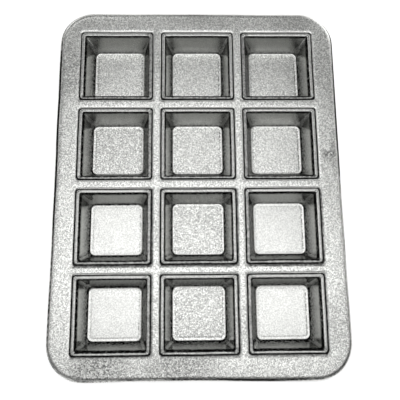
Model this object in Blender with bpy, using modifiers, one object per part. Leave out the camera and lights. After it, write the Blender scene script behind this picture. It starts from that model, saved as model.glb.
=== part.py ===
"""A brownie pan for twelve square cakes, in aluminised steel.

Twelve drawn cups are locked into one pressed frame, whose outer edge is rolled round a wire.
Metres, +Z up. X runs across the columns and Y along the rows. The origin is under the middle
of the pan, at the level of the cups' undersides.

Each sheet is drawn as its middle surface, and Solidify gives it its thickness to both sides.
"""

from math import atan, cos, pi, radians, sin, tan

import bmesh
import bpy

# Pattern of cups
COLUMNS = 3
ROWS = 4
COLUMN_LAND = 0.0038  # flat sheet left between two columns of cups
ROW_LAND = 0.0044  # flat sheet left between two rows of cups

# Sheets and wire
FRAME_SHEET = 0.0006
CUP_SHEET = 0.0006
WIRE_DIAMETER = 0.0040
SEAM_GAP = 0.0003  # clearance between two sheets, and between sheet and wire

# Cup, measured inside
CUP_MOUTH = 0.0636
CUP_FLOOR = 0.0499
CUP_DEPTH = 0.0246  # from the frame's top down to the floor
MOUTH_CORNER = 0.0020
FLOOR_CORNER = 0.0055
FLOOR_FILLET = 0.0040  # to the middle of the sheet

# Bead round a cup's mouth
BEAD_WIDTH = 0.0034
BEAD_DROP = 0.0002  # crest below the frame's top
BEAD_UNDERCUT = radians(35)  # how far the bead rolls in under itself before the wall starts
NECK_BEND = 0.0008  # bend from the bead to the wall, to the middle of the sheet
CORNER_SPREAD = 0.25  # growth of a corner's radius for each metre out from the mouth

# Frame
SHOULDER_BEND = 0.0020  # roll from the flat top down into a hole, to the middle of the sheet
COLLAR_HEIGHT = 0.0023  # straight sheet below the shoulder
SIDE_BORDER = 0.0148  # flat sheet outside the first and last columns
END_BORDER = 0.01545  # flat sheet outside the first and last rows
OUTLINE_CORNER = 0.0335
EDGE_BEND = 0.0042  # quarter bend at the outer edge, to the middle of the sheet
CURL_SWEEP = radians(215)  # how far the edge curls on round its wire below the quarter bend

# Facets
CUP_CORNER_STEPS = 3
OUTLINE_CORNER_STEPS = 6
FILLET_STEPS = 2
BEAD_STEPS = 4
SHOULDER_STEPS = 2
TURN_STEPS = 3
EDGE_STEPS = 3
CURL_STEPS = 6
SHARP_ANGLE = radians(40)

# Levels
FRAME_TOP = CUP_SHEET + CUP_DEPTH
FRAME_MIDDLE = FRAME_TOP - FRAME_SHEET / 2

# Bead
BEAD_RADIUS = (BEAD_WIDTH - CUP_SHEET) / 2
BEAD_CENTRE = (CUP_MOUTH + BEAD_WIDTH) / 2
BEAD_LEVEL = FRAME_TOP - BEAD_DROP - CUP_SHEET / 2 - BEAD_RADIUS

# Seam: the bead's leg stands in a channel that the frame's sheet makes round it
LEG = BEAD_CENTRE + BEAD_RADIUS
TURN_RADIUS = CUP_SHEET / 2 + SEAM_GAP + FRAME_SHEET / 2
COLLAR = LEG + TURN_RADIUS
LIP = LEG - TURN_RADIUS
SEAM_FOOT = FRAME_MIDDLE - SHOULDER_BEND - COLLAR_HEIGHT
LIP_TOP = BEAD_LEVEL - SEAM_GAP
HOLE = COLLAR + SHOULDER_BEND

# Flat top, out to the quarter bend
COLUMN_PITCH = 2 * HOLE + COLUMN_LAND
ROW_PITCH = 2 * HOLE + ROW_LAND
FLAT_X = COLUMN_PITCH * (COLUMNS - 1) / 2 + HOLE + SIDE_BORDER
FLAT_Y = ROW_PITCH * (ROWS - 1) / 2 + HOLE + END_BORDER
FLAT_CORNER = OUTLINE_CORNER - EDGE_BEND - FRAME_SHEET / 2

# Curl round the wire, which meets the quarter bend at its outermost line
CURL_RADIUS = WIRE_DIAMETER / 2 + SEAM_GAP + FRAME_SHEET / 2
WIRE_OUT = EDGE_BEND - CURL_RADIUS  # from the flat top's end out to the wire's line
WIRE_LEVEL = FRAME_MIDDLE - EDGE_BEND


def clear_scene():
    for thing in list(bpy.data.objects):
        bpy.data.objects.remove(thing)


def make_collection(name):
    collection = bpy.data.collections.new(name)
    bpy.context.scene.collection.children.link(collection)
    return collection


def make_steel(name, colour, roughness):
    material = bpy.data.materials.new(name)
    material.use_nodes = True
    shader = material.node_tree.nodes["Principled BSDF"]
    shader.inputs["Base Color"].default_value = (*colour, 1)
    shader.inputs["Metallic"].default_value = 1
    shader.inputs["Roughness"].default_value = roughness
    return material


def arc(centre, level, radius, start, end, steps):
    """Points (distance, height) along an arc in a section of the sheet."""
    angles = [start + (end - start) * i / steps for i in range(steps + 1)]
    return [(centre + radius * cos(a), level + radius * sin(a)) for a in angles]


def rounded_outline(half_x, half_y, corner, level, steps):
    """Points of a rectangle with round corners, anticlockwise from the corner at +X and +Y."""
    points = []
    for turn, (sign_x, sign_y) in enumerate([(1, 1), (-1, 1), (-1, -1), (1, -1)]):
        middle_x = sign_x * (half_x - corner)
        middle_y = sign_y * (half_y - corner)
        for i in range(steps + 1):
            angle = (turn + i / steps) * pi / 2
            points.append((middle_x + corner * cos(angle), middle_y + corner * sin(angle), level))
    return points


def seam_corner(half):
    """Corner radius of the square ring at a distance from the cup's middle, in bead and seam."""
    return MOUTH_CORNER + CORNER_SPREAD * (half - CUP_MOUTH / 2)


def square_ring(half, level, corner):
    return rounded_outline(half, half, corner, level, CUP_CORNER_STEPS)


def add_ring(mesh, points, offset=(0, 0)):
    return [mesh.verts.new((x + offset[0], y + offset[1], z)) for x, y, z in points]


def join_rings(mesh, rings):
    """Loft a strip of faces between each ring of vertices and the next."""
    for ring, following in zip(rings, rings[1:]):
        for i, corner in enumerate(ring):
            j = (i + 1) % len(ring)
            mesh.faces.new((corner, ring[j], following[j], following[i]))


def ring_edges(mesh, ring):
    """The edges of a closed ring, made where no face has made them yet."""
    edges = []
    for i, corner in enumerate(ring):
        pair = (corner, ring[(i + 1) % len(ring)])
        edges.append(mesh.edges.get(pair) or mesh.edges.new(pair))
    return edges


def finish_sheet(mesh, name, thickness, material):
    """A mesh object from the middle surface, given its thickness and smooth shading."""
    bmesh.ops.recalc_face_normals(mesh, faces=mesh.faces)
    data = bpy.data.meshes.new(name)
    mesh.to_mesh(data)
    mesh.free()
    data.materials.append(material)
    data.shade_smooth()
    data.set_sharp_from_angle(angle=SHARP_ANGLE)
    thing = bpy.data.objects.new(name, data)
    add_thickness(thing, thickness)
    return thing


def add_thickness(thing, thickness):
    solidify = thing.modifiers.new("Thickness", "SOLIDIFY")
    solidify.thickness = thickness
    solidify.offset = 0
    solidify.use_even_offset = True
    solidify.use_quality_normals = True


def cup_section():
    """Rings (half width, height, corner radius) of a cup's middle surface, from floor to leg."""
    draft = atan((CUP_MOUTH - CUP_FLOOR) / 2 / CUP_DEPTH)
    floor_half = (CUP_FLOOR + CUP_SHEET) / 2
    fillet_inset = FLOOR_FILLET * tan((pi / 2 - draft) / 2)
    fillet = arc(
        floor_half - fillet_inset,
        CUP_SHEET / 2 + FLOOR_FILLET,
        FLOOR_FILLET,
        -pi / 2,
        -draft,
        FILLET_STEPS,
    )
    rings = [(half, level, FLOOR_CORNER + half - floor_half) for half, level in fillet]
    bead = arc(BEAD_CENTRE, BEAD_LEVEL, BEAD_RADIUS, pi + BEAD_UNDERCUT, 0, BEAD_STEPS)
    neck_half, neck_level = bead[0]
    wall_half = neck_half + NECK_BEND * (cos(draft) - cos(BEAD_UNDERCUT))
    wall_level = neck_level - NECK_BEND * (sin(draft) + sin(BEAD_UNDERCUT))
    section = [(wall_half, wall_level), *bead, (LEG, SEAM_FOOT)]
    rings += [(half, level, seam_corner(half)) for half, level in section]
    return rings


def make_cup_sheet(material):
    mesh = bmesh.new()
    rings = [add_ring(mesh, square_ring(*ring)) for ring in cup_section()]
    mesh.faces.new(reversed(rings[0]))
    join_rings(mesh, rings)
    return finish_sheet(mesh, "cup", CUP_SHEET, material)


def cup_place(row, column):
    x = (column - (COLUMNS + 1) / 2) * COLUMN_PITCH
    y = ((ROWS + 1) / 2 - row) * ROW_PITCH
    return x, y


def make_cups(collection, material):
    """Twelve cups that share one mesh. Row 1 is the far one and column 1 the left one."""
    pattern = make_cup_sheet(material)
    for row in range(1, ROWS + 1):
        for column in range(1, COLUMNS + 1):
            cup = bpy.data.objects.new(f"cup_r{row}_c{column}", pattern.data)
            add_thickness(cup, CUP_SHEET)
            cup.location = (*cup_place(row, column), 0)
            collection.objects.link(cup)
    bpy.data.objects.remove(pattern)


def hole_section():
    """Rings of the frame's middle surface at a hole: shoulder, collar, turn and lip."""
    shoulder = arc(
        HOLE, FRAME_MIDDLE - SHOULDER_BEND, SHOULDER_BEND, pi / 2, pi, SHOULDER_STEPS
    )
    turn = arc(LEG, SEAM_FOOT, TURN_RADIUS, 0, -pi, TURN_STEPS)
    section = [*shoulder, *turn, (LIP, LIP_TOP)]
    return [(half, level, seam_corner(half)) for half, level in section]


def edge_section():
    """Rings of the frame's rolled edge, as distance out from the flat top's end, and height."""
    bend = arc(0, WIRE_LEVEL, EDGE_BEND, pi / 2, 0, EDGE_STEPS)
    curl = arc(WIRE_OUT, WIRE_LEVEL, CURL_RADIUS, 0, -CURL_SWEEP, CURL_STEPS)
    return [*bend, *curl[1:]]


def outline(distance, level):
    """The pan's outline at a distance out from the flat top's end."""
    return rounded_outline(
        FLAT_X + distance,
        FLAT_Y + distance,
        FLAT_CORNER + distance,
        level,
        OUTLINE_CORNER_STEPS,
    )


def make_frame(collection, material):
    """One sheet: the flat top, a formed hole for each cup, and the rolled edge."""
    mesh = bmesh.new()
    edge = [add_ring(mesh, outline(*point)) for point in edge_section()]
    join_rings(mesh, edge)
    border = ring_edges(mesh, edge[0])
    for row in range(1, ROWS + 1):
        for column in range(1, COLUMNS + 1):
            place = cup_place(row, column)
            hole = [add_ring(mesh, square_ring(*ring), place) for ring in hole_section()]
            join_rings(mesh, hole)
            border += ring_edges(mesh, hole[0])
    bmesh.ops.triangle_fill(mesh, use_beauty=True, use_dissolve=False, edges=border)
    frame = finish_sheet(mesh, "pan_frame", FRAME_SHEET, material)
    collection.objects.link(frame)


def make_rim_wire(collection, material):
    """A wire ring that runs inside the rolled edge."""
    curve = bpy.data.curves.new("rim_wire", "CURVE")
    curve.dimensions = "3D"
    curve.bevel_depth = WIRE_DIAMETER / 2
    curve.bevel_resolution = 2
    line = curve.splines.new("POLY")
    points = outline(WIRE_OUT, WIRE_LEVEL)
    line.points.add(len(points) - 1)
    for point, place in zip(line.points, points):
        point.co = (*place, 1)
    line.use_cyclic_u = True
    curve.materials.append(material)
    collection.objects.link(bpy.data.objects.new("rim_wire", curve))


def main():
    clear_scene()
    collection = make_collection("brownie_pan")
    make_frame(collection, make_steel("frame_steel", (0.60, 0.60, 0.58), 0.38))
    make_cups(collection, make_steel("cup_steel", (0.62, 0.62, 0.61), 0.32))
    make_rim_wire(collection, make_steel("wire_steel", (0.50, 0.50, 0.50), 0.40))


main()
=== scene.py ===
"""The looks of the brownie pan: fine sheet-metal pieces, steel finishes, studio and camera."""

from collections import namedtuple
from math import atan, cos, floor, pi, radians, sin, tan

import bmesh
import bpy
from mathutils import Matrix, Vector, noise
from mathutils.geometry import delaunay_2d_cdt


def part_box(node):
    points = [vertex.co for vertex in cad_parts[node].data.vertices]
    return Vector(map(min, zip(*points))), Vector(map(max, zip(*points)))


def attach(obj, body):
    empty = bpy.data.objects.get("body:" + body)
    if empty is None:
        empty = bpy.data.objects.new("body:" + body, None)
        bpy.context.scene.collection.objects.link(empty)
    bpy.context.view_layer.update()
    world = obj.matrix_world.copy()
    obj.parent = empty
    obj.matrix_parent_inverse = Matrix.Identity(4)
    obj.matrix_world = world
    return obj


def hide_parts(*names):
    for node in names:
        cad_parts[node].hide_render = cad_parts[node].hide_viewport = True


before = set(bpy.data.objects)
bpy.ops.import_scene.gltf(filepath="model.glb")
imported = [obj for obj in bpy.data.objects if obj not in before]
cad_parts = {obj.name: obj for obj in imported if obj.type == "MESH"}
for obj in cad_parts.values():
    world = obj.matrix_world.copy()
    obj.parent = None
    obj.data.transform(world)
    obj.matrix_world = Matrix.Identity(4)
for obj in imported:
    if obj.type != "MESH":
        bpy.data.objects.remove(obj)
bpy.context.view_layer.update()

# The frame's own sizes
FRAME_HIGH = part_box("pan_frame")[1]
FRAME_TOP = FRAME_HIGH.z
CUP_NAMES = sorted(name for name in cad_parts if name.startswith("cup_"))
CUP_LOW, CUP_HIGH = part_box(CUP_NAMES[0])
CUP_MIDDLES = {name: sum(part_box(name), Vector()).xy / 2 for name in CUP_NAMES}
COLUMNS = 3

# Sheets and wire
SHEET = 0.0006
SEAM_GAP = 0.0003
WIRE_RADIUS = 0.0020

# Cup
CUP_OUTSIDE = CUP_HIGH.x - CUP_LOW.x
BEAD_WIDTH = 0.0034
BEAD_DROP = FRAME_TOP - CUP_HIGH.z
BEAD_UNDERCUT = radians(35)
NECK_BEND = 0.0008
CUP_MOUTH = CUP_OUTSIDE - 2 * BEAD_WIDTH
CUP_FLOOR = 0.0499
MOUTH_CORNER = 0.0020
FLOOR_CORNER = 0.0055
CORNER_SPREAD = 0.25  # how fast a corner's radius grows outwards from the mouth

# Frame
SHOULDER_BEND = 0.0020
COLLAR_HEIGHT = 0.0023
OUTLINE_CORNER = 0.0335
EDGE_BEND = 0.0042
CURL_SWEEP = radians(215)

# Where the sheets' middle surfaces run
FRAME_MIDDLE = FRAME_TOP - SHEET / 2
FLOOR_HALF = (CUP_FLOOR + SHEET) / 2
DRAFT = atan((CUP_MOUTH - CUP_FLOOR) / 2 / (FRAME_TOP - SHEET))
BEAD_RADIUS = (BEAD_WIDTH - SHEET) / 2
BEAD_CENTRE = (CUP_MOUTH + BEAD_WIDTH) / 2
BEAD_LEVEL = FRAME_TOP - BEAD_DROP - SHEET / 2 - BEAD_RADIUS
LEG = BEAD_CENTRE + BEAD_RADIUS
TURN_RADIUS = SHEET + SEAM_GAP
COLLAR = LEG + TURN_RADIUS
SEAM_FOOT = FRAME_MIDDLE - SHOULDER_BEND - COLLAR_HEIGHT
FLAT_X = FRAME_HIGH.x - EDGE_BEND - SHEET / 2
FLAT_Y = FRAME_HIGH.y - EDGE_BEND - SHEET / 2
FLAT_CORNER = OUTLINE_CORNER - EDGE_BEND - SHEET / 2
CURL_RADIUS = WIRE_RADIUS + SEAM_GAP + SHEET / 2
WIRE_OUT = EDGE_BEND - CURL_RADIUS
WIRE_LEVEL = FRAME_MIDDLE - EDGE_BEND

# A value on each side of a cup or hole, where left is at -X and far is at +Y
Sides = namedtuple("Sides", "left right far near", defaults=(0, 0, 0, 0))
# A ring of a square cup or hole: half its width, its height and its corners' radius. seam, fold
# and draw say how much of the seam's waviness, the corner pleats and the wall's corner draw
# marks reach it. lean is the height that the bead's lean is a share of. Then come the painted
# shade that darkens a crease, where shade falls, and stain, what lies on a flat place, from 0 to
# 1.
Ring = namedtuple(
    "Ring",
    "half level corner seam fold draw lean dirt stain",
    defaults=(0, 0, 0, 0, Sides(), Sides()),
)
# A place on any ring: side or corner number, how far along it from 0 to 1, and corner or not
Station = namedtuple("Station", "quarter along on_corner")

# Rings
CORNER_STEPS = 12
SIDE_STEPS = 16
SHARP_EDGE = radians(50)  # between two faces, from where their edge isn't shaded smooth
SEAM_WAVE = 0.00012
CUP_PHASE = 1.7  # radians by which the seam's waves shift from cup to cup
SIDE_PHASE = 2.3  # and from side to side
RIPPLE = 0.6  # height of the seam's second wave beside its first
RIPPLE_PHASE = 3.1  # how many times as far it shifts
RIPPLE_TURN = 9.0  # radians that it runs through along a side
# How far a bead's crown drops towards the seam, as a share of the bead's radius
BEAD_LEAN = Sides(left=0.08, right=0.08, far=0.22, near=-0.08)
BEAD_PLEAT = 0.00020
PLEATS = 2
# painted shade in the corner pleats
PLEAT_SHADE = 0.6
DRAW_LINE = 0.0018  # from a wall corner's middle to the line, painted dark as shade, on either side of it
DRAW_LINE_WIDTH = 0.0007
DRAW_MARK = 0.00010
# painted shade along the draw lines
DRAW_LINE_SHADE = 0.9
CORNER_SHADE = 0.45  # painted shade in a wall's corner, from where it fades along both sides
CORNER_SHADE_REACH = 0.009


def ramp(value, low, high):
    """0 up to the value low, 1 from the value high on, and a straight line between them."""
    return min(1, max(0, (value - low) / (high - low)))


def arc(centre, level, radius, start, end, steps):
    """Points (distance, height) along an arc in a section of the sheet."""
    angles = [start + (end - start) * i / steps for i in range(steps + 1)]
    return [(centre + radius * cos(a), level + radius * sin(a)) for a in angles]


def stations(corner_steps, side_steps):
    """Places round a ring, anticlockwise from the start of the corner at +X and +Y."""
    places = []
    for quarter in range(4):
        places += [Station(quarter, i / corner_steps, True) for i in range(corner_steps + 1)]
        places += [Station(quarter, i / side_steps, False) for i in range(1, side_steps)]
    return places


def corner_middle(quarter, half_x, half_y, corner):
    sign_x = 1 if quarter in (0, 3) else -1
    sign_y = 1 if quarter in (0, 1) else -1
    return Vector((sign_x * (half_x - corner), sign_y * (half_y - corner)))


def ring_point(station, half_x, half_y, corner):
    """Point of a rounded rectangle at a station, and the direction that faces out there."""
    turn = station.quarter + (station.along if station.on_corner else 1)
    outward = Vector((cos(turn * pi / 2), sin(turn * pi / 2)))
    point = corner_middle(station.quarter, half_x, half_y, corner) + corner * outward
    if not station.on_corner:
        following = corner_middle((station.quarter + 1) % 4, half_x, half_y, corner)
        point = point.lerp(following + corner * outward, station.along)
    return point, outward


def seam_corner(half):
    return MOUTH_CORNER + CORNER_SPREAD * (half - CUP_MOUTH / 2)


def seam_ring(half, level, dirt, **marks):
    """A ring of the neck, the bead or the seam."""
    return Ring(half, level, seam_corner(half), seam=1, dirt=dirt, **marks)


def seam_wave(station, cup):
    """Small uneven runs of a hand-fed seam, the same for a cup and its hole."""
    if station.on_corner:
        return 0.0
    phase = CUP_PHASE * cup + SIDE_PHASE * station.quarter
    fade = sin(pi * station.along)
    ripple = RIPPLE * sin(phase * RIPPLE_PHASE + RIPPLE_TURN * station.along)
    return SEAM_WAVE * fade * (sin(phase) + ripple)


def corner_pleat(station, cup):
    """How deep a corner's small pleats are at a station, from 0 to 1."""
    swing = 2 * pi * (station.along - 0.5) + cup + station.quarter
    return (1 + cos(PLEATS * swing)) / 2


def draw_line(station, corner):
    """How strongly a drawn wall's corner is marked at a station, from 0 to 1."""
    aside = abs(station.along - 0.5) * corner * pi / 2
    return max(0, 1 - abs(aside - DRAW_LINE) / DRAW_LINE_WIDTH)


def near_corner(station, ring):
    """1 on a ring's corners, from where it falls to 0 along both sides."""
    if station.on_corner:
        return 1
    side = 2 * (ring.half - ring.corner)
    aside = side * min(station.along, 1 - station.along)
    return max(0, 1 - aside / CORNER_SHADE_REACH)


def all_round(value):
    return Sides(value, value, value, value)


def by_side(values, outward):
    """The value where a ring faces outward, from its values on the four sides."""
    across = values.right if outward.x > 0 else values.left
    along = values.far if outward.y > 0 else values.near
    return across * outward.x**2 + along * outward.y**2


def at_least(values, **lowest):
    """The values on the four sides, none below the lowest that is given for its side."""
    raised = {side: max(getattr(values, side), value) for side, value in lowest.items()}
    return values._replace(**raised)


def new_sheet():
    """A mesh that holds the painted shade in its creases and on its rim, with its stains' film,
    and how stained its flat places are.
    """
    mesh = bmesh.new()
    mesh.verts.layers.float.new("painted_shade_and_film")
    mesh.verts.layers.float.new("stain")
    return mesh


def square_ring(mesh, ring, places, cup, middle):
    """Vertices of a cup's or hole's ring, with its waves, pleats, draw marks and painted shade.
    """
    painted_shade_and_film = mesh.verts.layers.float["painted_shade_and_film"]
    stain = mesh.verts.layers.float["stain"]
    verts = []
    for station in places:
        point, outward = ring_point(station, ring.half, ring.half, ring.corner)
        point += outward * ring.seam * seam_wave(station, cup)
        level = ring.level - ring.lean * by_side(BEAD_LEAN, outward)
        # painted shade: each side's own value, and darker towards a wall's corners
        shade = ring.draw * CORNER_SHADE * near_corner(station, ring)
        dirt = max(by_side(ring.dirt, outward), shade)
        if station.on_corner:
            pleat = ring.fold * corner_pleat(station, cup)
            level -= BEAD_PLEAT * pleat
            line = ring.draw * draw_line(station, ring.corner)
            point += outward * DRAW_MARK * line
            # painted shade in the pleats and along the draw lines
            dirt = max(dirt, PLEAT_SHADE * pleat, DRAW_LINE_SHADE * line)
        vert = mesh.verts.new((middle.x + point.x, middle.y + point.y, level))
        vert[painted_shade_and_film] = dirt
        vert[stain] = by_side(ring.stain, outward)
        verts.append(vert)
    return verts


def join_rings(mesh, rings):
    """Loft a strip of faces between each ring of vertices and the next."""
    for ring, following in zip(rings, rings[1:]):
        for i, corner in enumerate(ring):
            j = (i + 1) % len(ring)
            mesh.faces.new((corner, ring[j], following[j], following[i]))


def sheet_piece(mesh, name, material):
    """A piece of sheet from its middle surface, with its thickness and smooth shading."""
    bmesh.ops.recalc_face_normals(mesh, faces=mesh.faces)
    data = bpy.data.meshes.new(name)
    mesh.to_mesh(data)
    mesh.free()
    data.materials.append(material)
    data.shade_smooth()
    data.set_sharp_from_angle(angle=SHARP_EDGE)
    piece = bpy.data.objects.new(name, data)
    bpy.context.scene.collection.objects.link(piece)
    solidify = piece.modifiers.new("Thickness", "SOLIDIFY")
    solidify.thickness = SHEET
    solidify.offset = 0
    solidify.use_even_offset = True
    solidify.use_quality_normals = True
    return piece


# A cup's floor, and the ledge round it
FLOOR_SHARES = (0.05, 0.3, 0.55, 0.8, 0.95, 1.0)  # of the way from its middle to its line
FLOOR_CROWN = 0.00012  # how much higher its middle is
FLOOR_LINE = 0.0226  # from the cup's middle to a fine line pressed into its floor
FLOOR_LINE_DEPTH = 0.00008
FLOOR_LINE_WIDTH = 0.0006
LINE_CORNERS = (0.6, 0.62, 0.65)  # inside, on and outside the line, as shares of FLOOR_CORNER
# how strongly flecks darken the pressed line and the floor just outside it, on the left and right
# sides
LINE_FLECKS = Sides(left=0.35, right=0.9)
LEDGE_TILT = radians(7)  # rise of the floor's margin outside that line
LEDGE_BEND = 0.0013  # from that margin up into the wall
LEDGE_STEPS = 8
# A cup's wall, neck and bead
WALL_STEPS = 16
DRAW_POWER = 0.7  # below 1 it puts the strongest draw marks under the wall's middle
NECK_STEPS = 4
BEAD_STEPS = 20
BEAD_FLATNESS = 3.0  # 2 is round, and more presses the bead's crown flatter
# Painted shade on each side, where shade falls: at a wall's base, the power by which it fades up
# the wall, and the depths below the neck down to which it is full and at which it ends
BASE_SHADE = Sides(left=0.9, right=0.9, far=0.75, near=0.97)
BASE_FADE = Sides(left=1.4, right=1.4, far=7, near=1.2)
NECK_FULL = Sides(left=0.0024, right=0.0024, far=0.0005, near=0.0022)
NECK_END = Sides(left=0.0054, right=0.0054, far=0.0020, near=0.0058)
NECK_FADE = 1.5  # power by which it fades between them
# Up to where the painted shade climbs the bead, as shares of the bead's radius, and the painted
# shade on the crown
BEAD_SHADE_RISE = Sides(left=0.88, right=0.88, far=0.88, near=0.97)
BEAD_SHADE_FADE = 0.3
BEAD_SHADE_SLANT = 0.16  # how much further it climbs on the side away from the cup
CROWN_SHADE = Sides(left=0.30, right=0.25)
# Painted shade that differs from row to row, from the far one to the nearest
FAR_NECK_LOWER = (0, 0.0004, 0.0018, 0.0022)
FAR_NECK_STRETCH = 1.5  # how many times as much lower it ends
FAR_WALL_SHADE = (0, 0, 0.2, 0.75)
NEAR_WALL_SHADE = (0, 0, 0.5, 0)
FAR_CROWN_SHADE = (0.05, 0.05, 0.05, 0.2)
NEAR_CROWN_SHADE = (0.5, 0.45, 0.45, 0)
# Across a near bead, from -1 at the cup to 1 at the seam, where its painted shade starts to fade
# and ends
NEAR_BEAD_SHADE = ((-0.1, 0.7), (-0.3, 0.4), (-0.6, 0.2), (-0.6, 0.2))
# Painted shade on the side, by column, where a cup's wall faces away from the pan's middle
AWAY_SIDES = {0: "right", 2: "left"}
AWAY_WALL_SHADE = 0.62
AWAY_CROWN_SHADE = 0.5
# Painted shade on the far ledge of the cups in one column, from a row on
FAR_LEDGE_COLUMN = 0
FAR_LEDGE_ROW = 2
FAR_LEDGE_SHADE = 0.9
# What differs from cup to cup
# Cups that take a lit copy of the steel, painted light: paler dark grains and less speckle
LIT_CUPS = ("cup_r3_c1", "cup_r3_c3", "cup_r4_c1", "cup_r4_c3")
# How strongly flecks darken a cup's floor
FLOOR_FLECKS = {
    "cup_r1_c1": 0.12,
    "cup_r1_c2": 0.15,
    "cup_r1_c3": 0.15,
    "cup_r2_c1": 0.26,
    "cup_r2_c2": 0.16,
    "cup_r2_c3": 0.02,
    "cup_r3_c2": 0.25,
    "cup_r4_c2": 0.28,
}


def floor_rings(stain):
    """Flat floor, a hair higher in the middle, with a fine pressed line near its edge."""
    inside, on_line, outside = (FLOOR_CORNER * share for share in LINE_CORNERS)
    rings = []
    for share in FLOOR_SHARES:
        half = (FLOOR_LINE - FLOOR_LINE_WIDTH / 2) * share
        level = SHEET / 2 + FLOOR_CROWN * (1 - share**2)
        rings.append(Ring(half, level, inside * share, stain=all_round(stain)))
    level = SHEET / 2 - FLOOR_LINE_DEPTH
    rings.append(Ring(FLOOR_LINE, level, on_line, stain=LINE_FLECKS))
    half = FLOOR_LINE + FLOOR_LINE_WIDTH / 2
    rings.append(Ring(half, SHEET / 2, outside, stain=LINE_FLECKS))
    return rings


def ledge_section():
    """The floor's margin, which rises from outside the line, and its bend up into the wall.

    The margin's straight line and the wall's meet at a corner, which the bend rounds off.
    """
    start = FLOOR_LINE + FLOOR_LINE_WIDTH
    rise = (FLOOR_HALF - start) * tan(LEDGE_TILT) / (1 - tan(LEDGE_TILT) * tan(DRAFT))
    corner_half = FLOOR_HALF + rise * tan(DRAFT)
    inset = LEDGE_BEND * tan((pi / 2 - DRAFT - LEDGE_TILT) / 2)
    edge_half = corner_half - inset * cos(LEDGE_TILT)
    edge_level = SHEET / 2 + rise - inset * sin(LEDGE_TILT)
    middle_half = edge_half - LEDGE_BEND * sin(LEDGE_TILT)
    middle_level = edge_level + LEDGE_BEND * cos(LEDGE_TILT)
    bend = arc(middle_half, middle_level, LEDGE_BEND, LEDGE_TILT - pi / 2, -DRAFT, LEDGE_STEPS)
    return [(start, SHEET / 2), *bend]


def bead_section():
    """The bead from its neck over the crown to its leg. Above its middle it is pressed flat."""
    points = []
    for i in range(BEAD_STEPS + 1):
        angle = (pi + BEAD_UNDERCUT) * (1 - i / BEAD_STEPS)
        across, up = cos(angle), sin(angle)
        if up > 0:
            power = 2 / BEAD_FLATNESS
            across, up = abs(across) ** power * (1 if across > 0 else -1), up**power
        points.append((BEAD_CENTRE + BEAD_RADIUS * across, BEAD_LEVEL + BEAD_RADIUS * up))
    return points


def neck_section(foot):
    """The small bend from the wall out to the foot of the bead."""
    half = foot[0] - NECK_BEND * cos(BEAD_UNDERCUT)
    level = foot[1] - NECK_BEND * sin(BEAD_UNDERCUT)
    return arc(half, level, NECK_BEND, -DRAFT, BEAD_UNDERCUT, NECK_STEPS)


def on_away_side(column, value):
    """A value by the name of the side that faces away from the pan's middle, if there is one."""
    return {AWAY_SIDES[column]: value} if column in AWAY_SIDES else {}


def wall_shade(share, depth, row, column):
    """Painted shade at a share of a wall's height, and at a depth below its neck."""
    lows = (value * (1 - share) ** power for value, power in zip(BASE_SHADE, BASE_FADE))
    lower = FAR_NECK_LOWER[row]
    full = NECK_FULL._replace(far=NECK_FULL.far + lower)
    end = NECK_END._replace(far=NECK_END.far + FAR_NECK_STRETCH * lower)
    highs = ((1 - ramp(depth, *ends)) ** NECK_FADE for ends in zip(full, end))
    return at_least(
        Sides(*(max(pair) for pair in zip(lows, highs))),
        far=FAR_WALL_SHADE[row] * (1 - share),
        near=NEAR_WALL_SHADE[row],
        **on_away_side(column, AWAY_WALL_SHADE),
    )


def ledge_rings(row, column):
    """The ledge round a cup's floor, with painted shade from halfway up its bend."""
    rings = []
    for i, (half, level) in enumerate(ledge_section()):
        share = ramp(i, LEDGE_STEPS / 2, LEDGE_STEPS)
        dirt = Sides(*(share * value for value in BASE_SHADE))
        dirt = dirt._replace(**on_away_side(column, 0))
        if i > 0 and row >= FAR_LEDGE_ROW and column == FAR_LEDGE_COLUMN:
            dirt = at_least(dirt, far=FAR_LEDGE_SHADE)
        rings.append(Ring(half, level, FLOOR_CORNER + half - FLOOR_HALF, dirt=dirt))
    return rings


def wall_rings(base, top, row, column):
    """A cup's wall between the last ring of its ledge and the first point of its neck."""
    top_half, top_level = top
    top_corner = seam_corner(top_half)
    rings = []
    for i in range(1, WALL_STEPS):
        share = i / WALL_STEPS
        half = base.half + share * (top_half - base.half)
        level = base.level + share * (top_level - base.level)
        corner = base.corner + share * (top_corner - base.corner)
        draw = sin(pi * share**DRAW_POWER)
        dirt = wall_shade(share, top_level - level, row, column)
        rings.append(Ring(half, level, corner, seam=share, draw=draw, dirt=dirt))
    return rings


def bead_ring(half, level, row, column):
    """A ring of the bead, with painted shade at its foot, which leans towards the seam."""
    rise = (level - BEAD_LEVEL) / BEAD_RADIUS
    across = (half - BEAD_CENTRE) / BEAD_RADIUS
    height = rise - BEAD_SHADE_SLANT * max(0, across)
    climb = (1 - ramp(height, top - BEAD_SHADE_FADE, top) for top in BEAD_SHADE_RISE)
    dirt = at_least(
        Sides(*(max(pair) for pair in zip(climb, CROWN_SHADE))),
        far=FAR_CROWN_SHADE[row],
        near=max(NEAR_CROWN_SHADE[row], 1 - ramp(across, *NEAR_BEAD_SHADE[row])),
        **on_away_side(column, AWAY_CROWN_SHADE),
    )
    lean = BEAD_RADIUS * max(0, rise) * (1 + across) / 2
    return seam_ring(half, level, dirt, fold=max(0, rise), lean=lean)


def cup_rings(stain, row, column):
    """A cup from its floor up its wall and over its bead to the foot of its leg."""
    bead = bead_section()
    neck = neck_section(bead[0])
    rings = floor_rings(stain) + ledge_rings(row, column)
    rings += wall_rings(rings[-1], neck[0], row, column)
    rings += [seam_ring(half, level, all_round(1)) for half, level in neck[:-1]]
    rings += [bead_ring(half, level, row, column) for half, level in bead]
    rings.append(seam_ring(LEG, SEAM_FOOT, all_round(1)))
    return rings


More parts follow.
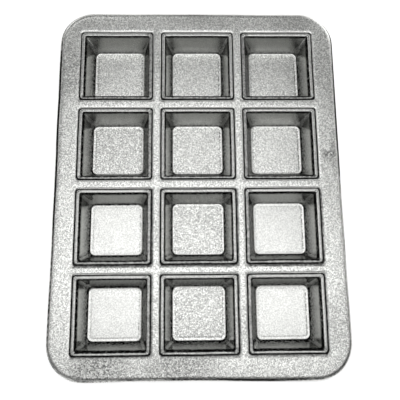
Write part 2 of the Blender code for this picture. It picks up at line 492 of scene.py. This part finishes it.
def make_cup(name, number, material):
    """One cup. They are numbered row by row from the far one, and from the left."""
    mesh = new_sheet()
    stain = FLOOR_FLECKS.get(name, 0.0)
    places = stations(CORNER_STEPS, SIDE_STEPS)
    middle = CUP_MIDDLES[name]
    section = cup_rings(stain, row=number // COLUMNS, column=number % COLUMNS)
    rings = [square_ring(mesh, ring, places, number, middle) for ring in section]
    mesh.faces.new(reversed(rings[0]))
    join_rings(mesh, rings)
    piece = sheet_piece(mesh, "fine_" + name, material)
    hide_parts(name)
    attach(piece, "root")


# The frame's holes
SHOULDER_DROP = 0.0014
SHOULDER_STEPS = 20
SHOULDER_PIECES = 40  # straight bits that the bend is summed up from
SHOULDER_EASE = 3
TURN_STEPS = 6
# Depths between which the painted shade in the crease sets in, as shares of the shoulder's drop.
# The near side has a pair for each row, from the far one to the nearest.
CREASE = (0.25, 0.5)
FAR_CREASE = (0.45, 0.75)
NEAR_CREASE = ((0.12, 0.35), (0.25, 0.5), (0.25, 0.5), (0.25, 0.5))
# How much painted shade lies on the shoulders' near and right sides, from row to row
NEAR_SHOULDER_SHADE = (0, 0, 0.62, 0.5)
RIGHT_SHOULDER_SHADE = (0, 0, 0.6, 0.45)
NEAR_SHOULDER_SHADE_REACH = (0.0019, 0.0031)  # from the collar, where it starts to fade and where it ends
RIGHT_SHOULDER_SHADE_REACH = (0.0013, 0.0025)
PUCKER = 0.6
PUCKER_PLACE = 0.0018  # from the collar
PUCKER_WIDTH = 0.0012


def shoulder_section():
    """A quarter bend that starts gently from the flat and tightens towards the collar.

    Its slope grows with a power of the way along it.
    """
    shares = [(i + 0.5) / SHOULDER_PIECES for i in range(SHOULDER_PIECES)]
    slopes = [pi / 2 * share**SHOULDER_EASE for share in shares]
    stride = SHOULDER_DROP / sum(sin(slope) for slope in slopes)
    half = COLLAR + stride * sum(cos(slope) for slope in slopes)
    level = FRAME_MIDDLE
    points = [(half, level)]
    for slope in slopes:
        half -= stride * cos(slope)
        level -= stride * sin(slope)
        points.append((half, level))
    return points[:: SHOULDER_PIECES // SHOULDER_STEPS]


SHOULDER = shoulder_section()
HOLE_EDGE = SHOULDER[0][0]


def hole_rings(row):
    """A hole's shoulder and collar, and the turn under a cup's leg and up inside it."""
    turn = arc(LEG, SEAM_FOOT, TURN_RADIUS, 0, -pi, TURN_STEPS)
    lip = (LEG - TURN_RADIUS, BEAD_LEVEL - SEAM_GAP)
    rings = []
    for half, level in [*SHOULDER, *turn, lip]:
        depth = (FRAME_MIDDLE - level) / SHOULDER_DROP
        crease = ramp(depth, *CREASE)
        near_shade = NEAR_SHOULDER_SHADE[row] * (1 - ramp(half - COLLAR, *NEAR_SHOULDER_SHADE_REACH))
        right_shade = RIGHT_SHOULDER_SHADE[row] * (1 - ramp(half - COLLAR, *RIGHT_SHOULDER_SHADE_REACH))
        dirt = Sides(
            left=crease,
            right=max(crease, right_shade),
            far=ramp(depth, *FAR_CREASE),
            near=max(ramp(depth, *NEAR_CREASE[row]), near_shade),
        )
        fold = PUCKER * max(0, 1 - abs(half - COLLAR - PUCKER_PLACE) / PUCKER_WIDTH)
        rings.append(seam_ring(half, level, dirt, fold=fold))
    return rings


# The rolled edge
STRIP_STEPS = 10
EDGE_STEPS = 15
CURL_STEPS = 16
OUTLINE_CORNER_STEPS = 16
OUTLINE_SIDE_STEPS = 10
# Uneven work along the rim: how far it sags, the ridge before it and its bulge outwards, all
# in mm; then a painted dark reflection along it: the strength and the middle slope in degrees of
# its line, and its strength at the rim's foot. Each row starts at the corner at +X and +Y, goes
# anticlockwise, and has three places after each corner.
SAG = (0.5, 0.25, 0, 0.05, 0.15, 0.3, 0.25, 0.1, 0.05, 0, 0, 0, 0.05, 0, 0, 0.05)
RIDGE = (0.1, 0.12, 0.05, 0.07, 0.25, 0, 0, 0, 0.06, 0.03, 0, 0, 0, 0, 0.02, 0)
BULGE = (0.4, 0, 0, 0, 0.1, 0.1, 0.1, 0.2, 0.7, 0.1, 0.1, 1.2, 1.8, 0.4, 0.1, 0.2)
RIM_DARK_REFLECTION = (0, 0.1, 0.5, 0.0, 0.3, 1.5, 1.4, 0.7, 0.6, 0.6, 0.8, 0.9, 0.55, 0.4, 0.8, 3.0)
RIM_REFLECTION_SLOPE = (45, 18, 18, 18, 28, 28, 30, 32, 40, 28, 30, 31, 28, 42, 46, 48)
FOOT_DARK_REFLECTION = (0, 0, 0, 0, 0, 0, 0, 0, 0.3, 0, 0.3, 1.1, 0.45, 0.3, 0, 0)
RIM_PLACES = 4  # from one corner to the next
CORNER_SPAN = 0.4  # reach of a corner's bend to either side, in steps between places
MM_PER_METRE = 1000
FOOT_SLOPES = (54, 66)  # degrees between which the painted dark reflection at the foot sets in
RIM_REFLECTION_SPREAD = 21  # degrees from the middle of the line of painted dark reflection to where it ends
RIM_REFLECTION_CORE = 0.5  # share of its spread within which it is full
RIM_REFLECTION_WANDER = 12  # degrees that it strays
RIM_REFLECTION_UNEVEN = 0.7  # and how much its strength changes with that
WANDER_SCALE = 45
WANDER_SLICE = 0.3  # the height at which the noise is cut through
SAG_START = 0.0028  # from the flat top's end inwards
SAG_END = 0.0020  # and outwards
RIDGE_INSIDE = 0.0003
RIDGE_WIDTH = 0.0023


def round_rim(station, values):
    """A value that changes along the rim, between the places that it is given for."""
    on_corner = CORNER_SPAN * (2 * station.along - 1)
    on_side = CORNER_SPAN + (RIM_PLACES - 2 * CORNER_SPAN) * station.along
    place = RIM_PLACES * station.quarter + (on_corner if station.on_corner else on_side)
    before = floor(place)
    share = place - before
    count = len(values)
    return values[before % count] * (1 - share) + values[(before + 1) % count] * share


def rim_lift(station, distance):
    """How much higher the rim is than its even section, at a distance out from the flat top."""
    share = ramp(distance, -SAG_START, SAG_END)
    sag = round_rim(station, SAG) * (1 - cos(pi * share)) / 2
    ridge = round_rim(station, RIDGE) * max(0, 1 - ((distance + RIDGE_INSIDE) / RIDGE_WIDTH) ** 2)
    return (ridge - sag) / MM_PER_METRE


def rim_point(station, distance):
    """A place on the rim at a distance out from the flat top's end, with its bulge."""
    bulge = round_rim(station, BULGE) / MM_PER_METRE * ramp(distance, -SAG_START, SAG_END)
    reach = distance + bulge
    return ring_point(station, FLAT_X + reach, FLAT_Y + reach, FLAT_CORNER + reach)[0]


def painted_rim_reflection(station, point, slope):
    """How dark the rim is painted at a place, from 0 to 1, as a dark reflection along a line that
    wanders a little.
    """
    stray = noise.noise(Vector((point.x, point.y, WANDER_SLICE)) * WANDER_SCALE)
    middle = round_rim(station, RIM_REFLECTION_SLOPE) + RIM_REFLECTION_WANDER * stray
    near = ramp(1 - abs(slope - middle) / RIM_REFLECTION_SPREAD, 0, 1 - RIM_REFLECTION_CORE)
    line = near * round_rim(station, RIM_DARK_REFLECTION) * (1 + RIM_REFLECTION_UNEVEN * stray)
    foot = ramp(slope, *FOOT_SLOPES) * round_rim(station, FOOT_DARK_REFLECTION)
    return max(line, foot)


def edge_section():
    """The rolled edge, as distance out from the flat top's end, height, and slope in degrees."""
    strip = [(-SAG_START * (1 - i / STRIP_STEPS), FRAME_MIDDLE, 0) for i in range(STRIP_STEPS)]
    bend = arc(0, WIRE_LEVEL, EDGE_BEND, pi / 2, 0, EDGE_STEPS)
    bend = [(*point, 90 * i / EDGE_STEPS) for i, point in enumerate(bend)]
    curl = arc(WIRE_OUT, WIRE_LEVEL, CURL_RADIUS, 0, -CURL_SWEEP, CURL_STEPS)
    return [*strip, *bend, *((*point, 90) for point in curl[1:])]


def outline_ring(mesh, distance, level, slope, places):
    """Vertices round the pan's outline, with the rim's unevenness and its painted dark
    reflection.
    """
    painted_shade_and_film = mesh.verts.layers.float["painted_shade_and_film"]
    verts = []
    for station in places:
        point = rim_point(station, distance)
        lift = rim_lift(station, distance)
        vert = mesh.verts.new((point.x, point.y, level + lift))
        vert[painted_shade_and_film] = painted_rim_reflection(station, point, slope)
        verts.append(vert)
    return verts


# The flat top
TOP_NET = 0.006  # between the points over which it is filled
TOP_WAVE = 0.00015
TOP_WAVE_SCALE = 25
SAME_PLACE = 0.000001  # points closer than this are one
FILL_INSIDE = 1  # the kind of fill that keeps only what lies inside the loops
# Small dents: arcs as middle x and y, radius, and start and end in degrees
DENTS = (
    (0.0788, -0.1613, 0.0013, 0, 360),
    (0.1210, 0.0290, 0.0042, -50, 40),
    (0.1290, 0.0200, 0.0030, 20, 110),
)
DENT_DEPTH = 0.00014
DENT_WIDTH = 0.0012
DENT_STEP = 0.0006
DENT_STAIN = 0.35
# Stained places, as x, y, radius and strength. The two on the near edge, at y -0.169, are
# painted shade that darkens that edge; the others are stains
STAINS_AND_SHADE = (
    (-0.129, 0.115, 0.035, 0.35),
    (-0.115, 0.162, 0.025, 0.15),
    (0.094, 0.164, 0.025, 0.20),
    (-0.088, -0.169, 0.035, 0.55),
    (-0.015, -0.169, 0.040, 0.46),
    (0.129, 0.110, 0.035, 0.24),
    (0.128, -0.127, 0.030, 0.25),
    (0.126, 0.027, 0.008, 0.60),
    (-0.040, 0.120, 0.028, 0.20),
    (-0.040, -0.040, 0.028, 0.20),
    (-0.040, -0.120, 0.028, 0.15),
    (0.040, -0.120, 0.028, 0.20),
)
STAIN_FILM = 0.3  # how much of a stain is an even film


def beside_cups(x, y, clearance):
    """Whether a place on the flat top is clear of every hole and of the rolled edge."""
    for middle in CUP_MIDDLES.values():
        if max(abs(x - middle.x), abs(y - middle.y)) < HOLE_EDGE + clearance:
            return False
    from_side = FLAT_X - abs(x)
    from_end = FLAT_Y - abs(y)
    clearance += SAG_START
    if from_side < FLAT_CORNER and from_end < FLAT_CORNER:
        from_corner = Vector((FLAT_CORNER - from_side, FLAT_CORNER - from_end)).length
        return from_corner < FLAT_CORNER - clearance
    return min(from_side, from_end) > clearance


def dent_points():
    """Places along the dents and beside them, as x, y and depth."""
    points = []
    for x, y, radius, start, end in DENTS:
        start, end = radians(start), radians(end)
        steps = round(radius * (end - start) / DENT_STEP)
        for aside, depth in ((-DENT_WIDTH / 2, 0), (0, DENT_DEPTH), (DENT_WIDTH / 2, 0)):
            line = arc(x, y, radius + aside, start, end, steps)
            points += [(*place, depth) for place in line if beside_cups(*place, DENT_STEP)]
    return points


def net_points(dent_places):
    """Places on a square net that are clear of the holes, the rolled edge and the dents."""
    columns = int(FLAT_X / TOP_NET)
    rows = int(FLAT_Y / TOP_NET)
    points = []
    for i in range(-columns, columns + 1):
        for j in range(-rows, rows + 1):
            place = Vector((i * TOP_NET, j * TOP_NET))
            if not beside_cups(*place, TOP_NET / 2):
                continue
            if all((place - dent).length > DENT_WIDTH for dent in dent_places):
                points.append(place)
    return points


def flat_top(mesh, loops):
    """Fill between the rolled edge's loop and the holes' loops, over a net of inner points.

    The inner points rise and fall a little, as thin sheet does once it is pressed.
    """
    stain = mesh.verts.layers.float["stain"]
    corners = [vert for loop in loops for vert in loop]
    dents = dent_points()
    dent_places = [Vector(dent[:2]) for dent in dents]
    points = [vert.co.xy for vert in corners] + dent_places + net_points(dent_places)
    outlines = []
    for loop in loops:
        start = sum(len(outline) for outline in outlines)
        outlines.append(list(range(start, start + len(loop))))
    filled = delaunay_2d_cdt(points, [], outlines, FILL_INSIDE, SAME_PLACE)
    places, _, triangles, sources, _, owners = filled
    verts = []
    for place, source in zip(places, sources):
        if source and source[0] < len(corners):
            verts.append(corners[source[0]])
            continue
        number = source[0] - len(corners) if source else len(dents)
        depth = dents[number][2] if number < len(dents) else 0
        lift = TOP_WAVE * noise.noise(place.to_3d() * TOP_WAVE_SCALE) - depth
        vert = mesh.verts.new((place.x, place.y, FRAME_MIDDLE + lift))
        vert[stain] = DENT_STAIN if depth else 0
        verts.append(vert)
    # A triangle that only the first outline owns lies outside the holes
    for triangle, owner in zip(triangles, owners):
        if list(owner) == [0]:
            mesh.faces.new([verts[i] for i in triangle])


def add_stains_and_shade(mesh):
    """Stains on the sheet, which are partly an even film, and painted shade along its near edge.
    """
    painted_shade_and_film = mesh.verts.layers.float["painted_shade_and_film"]
    stain = mesh.verts.layers.float["stain"]
    for vert in mesh.verts:
        for x, y, radius, strength in STAINS_AND_SHADE:
            share = 1 - ramp((vert.co.xy - Vector((x, y))).length, radius / 2, radius)
            vert[stain] = max(vert[stain], strength * share)
            vert[painted_shade_and_film] = max(vert[painted_shade_and_film], STAIN_FILM * strength * share)


def make_frame(material):
    """The sheet round the cups, from its rolled edge over the flat top into the seams."""
    mesh = new_sheet()
    places = stations(OUTLINE_CORNER_STEPS, OUTLINE_SIDE_STEPS)
    edge = [outline_ring(mesh, *point, places) for point in edge_section()]
    join_rings(mesh, edge)
    loops = [edge[0]]
    places = stations(CORNER_STEPS, SIDE_STEPS)
    for number, middle in enumerate(CUP_MIDDLES.values()):
        section = hole_rings(number // COLUMNS)
        hole = [square_ring(mesh, ring, places, number, middle) for ring in section]
        join_rings(mesh, hole)
        loops.append(hole[0])
    flat_top(mesh, loops)
    add_stains_and_shade(mesh)
    piece = sheet_piece(mesh, "fine_pan_frame", material)
    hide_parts("pan_frame")
    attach(piece, "root")


WIRE_ROUNDNESS = 4  # how finely a quarter of its section is divided


def make_wire(material):
    """The wire ring inside the rolled edge."""
    curve = bpy.data.curves.new("fine_rim_wire", "CURVE")
    curve.dimensions = "3D"
    curve.bevel_depth = WIRE_RADIUS
    curve.bevel_resolution = WIRE_ROUNDNESS
    line = curve.splines.new("POLY")
    places = stations(OUTLINE_CORNER_STEPS, OUTLINE_SIDE_STEPS)
    line.points.add(len(places) - 1)
    for point, station in zip(line.points, places):
        place = rim_point(station, WIRE_OUT)
        point.co = (place.x, place.y, WIRE_LEVEL + rim_lift(station, WIRE_OUT), 1)
    line.use_cyclic_u = True
    curve.materials.append(material)
    piece = bpy.data.objects.new("fine_rim_wire", curve)
    bpy.context.scene.collection.objects.link(piece)
    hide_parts("rim_wire")
    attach(piece, "root")


class Nodes:
    """Short calls for building a node tree."""

    def __init__(self, tree):
        self.tree = tree

    def add(self, kind, **settings):
        node = self.tree.nodes.new(kind)
        for name, value in settings.items():
            setattr(node, name, value)
        return node

    def link(self, source, target):
        self.tree.links.new(source, target)

    def attribute(self, name):
        return self.add("ShaderNodeAttribute", attribute_name=name).outputs["Fac"]

    def height(self, vector):
        """The Z part of a place or a direction."""
        parts = self.add("ShaderNodeSeparateXYZ")
        self.link(vector, parts.inputs["Vector"])
        return parts.outputs["Z"]

    def noise(self, place, scale, detail, roughness):
        node = self.add("ShaderNodeTexNoise")
        self.link(place, node.inputs["Vector"])
        node.inputs["Scale"].default_value = scale
        node.inputs["Detail"].default_value = detail
        node.inputs["Roughness"].default_value = roughness
        return node.outputs["Fac"]

    def remap(self, source, from_low, from_high, to_low, to_high):
        node = self.add("ShaderNodeMapRange")
        self.link(source, node.inputs["Value"])
        names = ("From Min", "From Max", "To Min", "To Max")
        for name, value in zip(names, (from_low, from_high, to_low, to_high)):
            node.inputs[name].default_value = value
        return node.outputs["Result"]

    def math(self, operation, first, second):
        node = self.add("ShaderNodeMath", operation=operation)
        for socket, value in zip(node.inputs, (first, second)):
            if isinstance(value, (int, float)):
                socket.default_value = value
            else:
                self.link(value, socket)
        return node.outputs["Value"]

    def mix(self, share, first, second):
        node = self.add("ShaderNodeMix", data_type="RGBA")
        self.link(share, node.inputs["Factor"])
        colours = [s for s in node.inputs if s.type == "RGBA"]
        for socket, value in zip(colours, (first, second)):
            if isinstance(value, tuple):
                socket.default_value = value
            else:
                self.link(value, socket)
        return [s for s in node.outputs if s.type == "RGBA"][0]

    def seen(self):
        """1 for what the camera, metal and glass see, and 0 for what lights a matt surface."""
        path = self.add("ShaderNodeLightPath").outputs
        seen = self.math("MAXIMUM", path["Is Camera Ray"], path["Is Glossy Ray"])
        return self.math("MAXIMUM", seen, path["Is Transmission Ray"])


def new_material(name):
    """A material, and calls for building its nodes."""
    material = bpy.data.materials.new(name)
    material.use_nodes = True
    return material, Nodes(material.node_tree)


def grey(value, tint=(1, 1, 1)):
    """A grey as a linear colour, with a faint tint."""
    return (*(value * part for part in tint), 1)


# Greys of the dark and the light grains and of drawn walls, roughness, and the grains' height
Finish = namedtuple("Finish", "dark light smooth rough bump")
FINISHES = {
    "frame_steel": Finish(dark=0.37, light=1.0, smooth=0.84, rough=0.29, bump=0.00008),
    "cup_steel": Finish(dark=0.38, light=1.0, smooth=0.96, rough=0.29, bump=0.00008),
    # a lit copy of the cup steel, painted light: paler dark grains, less speckle and a finer bump
    "lit_cup_steel": Finish(dark=0.56, light=0.87, smooth=0.96, rough=0.29, bump=0.00004),
    "wire_steel": Finish(dark=0.4, light=0.6, smooth=0.5, rough=0.4, bump=0.00002),
}
STEEL_TINT = (0.993, 1.0, 0.972)
DRAWN_SMOOTHER = 0.8  # how rough a drawn wall is, beside the flat sheet
# Noises, as scale, detail and roughness
GRAIN = (1050, 2, 0.6)
CLOUD = (60, 3, 0.6)
PATCH = (500, 1, 0.5)
FLECK = (650, 1, 0.5)
# What a low and a high value become, as the two values and their results
SPECKLE = (0.39, 0.62, 0.0, 1.0)
CLOUD_ROUGH = (0.3, 0.7, 0.96, 1.12)
# how unevenly the painted shade lies, in soft patches
PATCH_SHADE = (0.35, 0.65, 0.8, 1.4)
FLECK_DIRT = (0.44, 0.60, 0.0, 1.3)
FLAT_FACING = (0.92, 0.995, 0.0, 1.0)  # by how far up a face looks
UNDERSIDE = (-0.25, -0.1)  # how far up a face looks at the end of the underside, and beyond it
UNDERSIDE_CREASE_SHADE = 0.3  # how much of a crease's painted shade shows on the sheet's other side
UNDERSIDE_SHADE = 0.42  # painted shade on the faces that look down
SHADE_AND_FILM_GREY = 0.02  # the grey of the painted shade, and of the stains' film
SHADE_AND_FILM_SHINE = 0.15  # how much of a metal's glancing shine is left under them


def steel_shade_and_stain(nodes, place, upward):
    """How dark the steel is, from painted shade and from stains. The painted shade lies in soft
    patches, and a stain is made up of flecks.
    """
    facing_up = nodes.remap(upward, *UNDERSIDE, UNDERSIDE_CREASE_SHADE, 1.0)
    underside_shade = nodes.remap(upward, *UNDERSIDE, UNDERSIDE_SHADE, 0.0)
    painted_shade_and_film = nodes.math("MULTIPLY", nodes.attribute("painted_shade_and_film"), facing_up)
    patches = nodes.remap(nodes.noise(place, *PATCH), *PATCH_SHADE)
    painted_shade_and_film = nodes.math("MULTIPLY", nodes.math("MAXIMUM", painted_shade_and_film, underside_shade), patches)
    flecks = nodes.remap(nodes.noise(place, *FLECK), *FLECK_DIRT)
    stain = nodes.math("MULTIPLY", nodes.attribute("stain"), flecks)
    return nodes.math("MINIMUM", nodes.math("MAXIMUM", painted_shade_and_film, stain), 1.0)


def steel(name):
    """Aluminised sheet: a fine mottled spangle over broad soft clouds, drawn smooth on walls."""
    finish = FINISHES[name]
    material, nodes = new_material(name)
    shader = nodes.tree.nodes["Principled BSDF"]
    place = nodes.add("ShaderNodeTexCoord").outputs["Object"]
    grain = nodes.noise(place, *GRAIN)
    upward = nodes.height(nodes.add("ShaderNodeNewGeometry").outputs["Normal"])
    flat = nodes.remap(upward, *FLAT_FACING)
    dirt = steel_shade_and_stain(nodes, place, upward)

    dark, light, smooth = (grey(value, STEEL_TINT) for value in finish[:3])
    spangle = nodes.mix(nodes.remap(grain, *SPECKLE), dark, light)
    # the painted shade and the stains take the colour towards a near black
    colour = nodes.mix(dirt, nodes.mix(flat, smooth, spangle), grey(SHADE_AND_FILM_GREY))
    nodes.link(colour, shader.inputs["Base Color"])
    edge_tint = nodes.mix(dirt, grey(1.0), grey(SHADE_AND_FILM_SHINE))
    nodes.link(edge_tint, shader.inputs["Specular Tint"])
    shader.inputs["Metallic"].default_value = 1
    # Drawing smooths the walls, and the flat sheet keeps its satin
    satin = nodes.remap(flat, 0.0, 1.0, finish.rough * DRAWN_SMOOTHER, finish.rough)
    clouds = nodes.remap(nodes.noise(place, *CLOUD), *CLOUD_ROUGH)
    nodes.link(nodes.math("MULTIPLY", satin, clouds), shader.inputs["Roughness"])

    bump = nodes.add("ShaderNodeBump")
    bump.inputs["Strength"].default_value = 1
    bump.inputs["Distance"].default_value = finish.bump
    nodes.link(nodes.math("MULTIPLY", grain, flat), bump.inputs["Height"])
    nodes.link(bump.outputs["Normal"], shader.inputs["Normal"])
    return material


# Studio
STUDIO_RADIUS = 3.0
STUDIO_WALL = 0.42
STUDIO_BEND = 0.2
STUDIO_BEND_STEPS = 8
STUDIO_STEPS = 64
STUDIO_WELD = 0.00001  # joins its round where it closes, and at its middle
STUDIO_PAINT = 0.85
FLOOR_GAP = 0.0002  # keeps the floor clear of the cups' undersides
FLOOR_GLOW = 0.66  # what the camera, metal and glass see of the studio's white, beside its light
WORLD_GREY = 0.07
HORIZON_FADE = (0.26, 0.42)  # sines of the heights between which the world's pale band ends
LAMP_HEIGHT = 1.6
UPRIGHT = {"tilt": -90, "height": 1.5}


def studio_white():
    """Matt white paint that also glows, but only where it is seen."""
    material, nodes = new_material("studio_white")
    nodes.tree.nodes.remove(nodes.tree.nodes["Principled BSDF"])
    paint = nodes.add("ShaderNodeBsdfDiffuse")
    paint.inputs["Color"].default_value = grey(STUDIO_PAINT)
    glow = nodes.add("ShaderNodeEmission")
    glow.inputs["Color"].default_value = grey(1.0)
    nodes.link(nodes.math("MULTIPLY", nodes.seen(), FLOOR_GLOW), glow.inputs["Strength"])
    both = nodes.add("ShaderNodeAddShader")
    nodes.link(paint.outputs["BSDF"], both.inputs[0])
    nodes.link(glow.outputs["Emission"], both.inputs[1])
    nodes.link(both.outputs["Shader"], nodes.tree.nodes["Material Output"].inputs["Surface"])
    return material


def make_studio():
    """A round white floor that bends up into a low wall."""
    bend_middle = STUDIO_RADIUS - STUDIO_BEND
    bend = arc(bend_middle, STUDIO_BEND, STUDIO_BEND, -pi / 2, 0, STUDIO_BEND_STEPS)
    profile = [(0.0, 0.0), *bend, (STUDIO_RADIUS, STUDIO_WALL)]
    mesh = bmesh.new()
    verts = [mesh.verts.new((x, 0, z)) for x, z in profile]
    edges = [mesh.edges.new(pair) for pair in zip(verts, verts[1:])]
    bmesh.ops.spin(
        mesh,
        geom=verts + edges,
        cent=(0, 0, 0),
        axis=(0, 0, 1),
        angle=2 * pi,
        steps=STUDIO_STEPS,
    )
    bmesh.ops.remove_doubles(mesh, verts=mesh.verts, dist=STUDIO_WELD)
    bmesh.ops.recalc_face_normals(mesh, faces=mesh.faces)
    data = bpy.data.meshes.new("studio")
    mesh.to_mesh(data)
    mesh.free()
    data.materials.append(studio_white())
    data.shade_smooth()
    studio = bpy.data.objects.new("studio", data)
    studio.location.z = -FLOOR_GAP
    bpy.context.scene.collection.objects.link(studio)


def add_lamp(name, middle, size, radiance, turn=0, tilt=0, height=LAMP_HEIGHT):
    """A flat panel that faces down, or -Y where it is tilted by -90 degrees.

    Its power follows from the brightness it shows.
    """
    lamp = bpy.data.lights.new(name, "AREA")
    lamp.shape = "RECTANGLE"
    lamp.size, lamp.size_y = size
    lamp.energy = radiance * pi * size[0] * size[1]
    piece = bpy.data.objects.new(name, lamp)
    piece.location = (*middle, height)
    piece.rotation_euler = (radians(tilt), 0, radians(turn))
    bpy.context.scene.collection.objects.link(piece)


def make_lights():
    """Panels overhead, and upright ones beyond the pan's far side, for the steel to mirror."""
    add_lamp("panel_apron", (0, -0.72), (2.6, 0.50), 0.32)
    add_lamp("panel_front", (0, -1.62), (4.5, 1.20), 0.11)
    add_lamp("panel_window", (0, -2.8), (4.5, 1.10), 1.15)
    add_lamp("panel_near", (0.02, -0.075), (1.62, 0.81), 1.56, turn=-9)
    add_lamp("panel_middle", (0.02, 0.645), (1.26, 0.47), 1.33, turn=-4)
    add_lamp("panel_far", (0, 1.15), (1.2, 0.50), 0.30)
    add_lamp("panel_left", (-1.6, 0.3), (0.8, 1.6), 1.2)
    add_lamp("panel_right", (1.6, 0.3), (0.8, 1.6), 1.3)
    add_lamp("softbox_far", (0, 2.4), (2.0, 1.5), 0.30, **UPRIGHT)
    add_lamp("softbox_right", (1.7, 2.1), (1.4, 2.1), 1.2, turn=-39, **UPRIGHT)
    add_lamp("softbox_left", (-1.7, 2.1), (1.2, 2.1), 0.9, turn=39, **UPRIGHT)


def make_world():
    """Pale to the camera, metal and glass round the horizon, dim above that and as light."""
    world = bpy.data.worlds.new("studio_world")
    world.use_nodes = True
    nodes = Nodes(world.node_tree)
    background = nodes.tree.nodes["Background"]
    background.inputs["Color"].default_value = grey(1.0)
    rise = nodes.height(nodes.add("ShaderNodeTexCoord").outputs["Generated"])
    pale = nodes.remap(rise, *HORIZON_FADE, 1.0 - WORLD_GREY, 0.0)
    glow = nodes.math("MULTIPLY", nodes.seen(), pale)
    nodes.link(nodes.math("ADD", glow, WORLD_GREY), background.inputs["Strength"])
    bpy.context.scene.world = world


# Camera
PICTURE = 400  # the photograph's width and height in pixels
SENSOR = 36.0  # mm
FOCAL_PIXELS = 486.4
CAMERA_PLACE = (-0.0091, -0.1013, 0.4478)  # from the middle of the frame's top
CAMERA_TURN = (0.189, -0.0217, -0.0099)  # radians about X, Y and Z
CLIP_NEAR = 0.01
CLIP_FAR = 50


def make_camera():
    data = bpy.data.cameras.new("camera")
    data.sensor_width = SENSOR
    data.lens = FOCAL_PIXELS / PICTURE * SENSOR
    data.clip_start = CLIP_NEAR
    data.clip_end = CLIP_FAR
    camera = bpy.data.objects.new("camera", data)
    camera.location = Vector(CAMERA_PLACE) + Vector((0, 0, FRAME_TOP))
    camera.rotation_euler = CAMERA_TURN
    bpy.context.scene.collection.objects.link(camera)
    bpy.context.scene.camera = camera


def main():
    bpy.context.scene.view_settings.view_transform = "Standard"
    make_camera()
    make_studio()
    make_lights()
    make_world()
    make_frame(steel("frame_steel"))
    plain_steel = steel("cup_steel")
    lit_steel = steel("lit_cup_steel")
    for number, name in enumerate(CUP_NAMES):
        make_cup(name, number, lit_steel if name in LIT_CUPS else plain_steel)
    make_wire(steel("wire_steel"))


main()
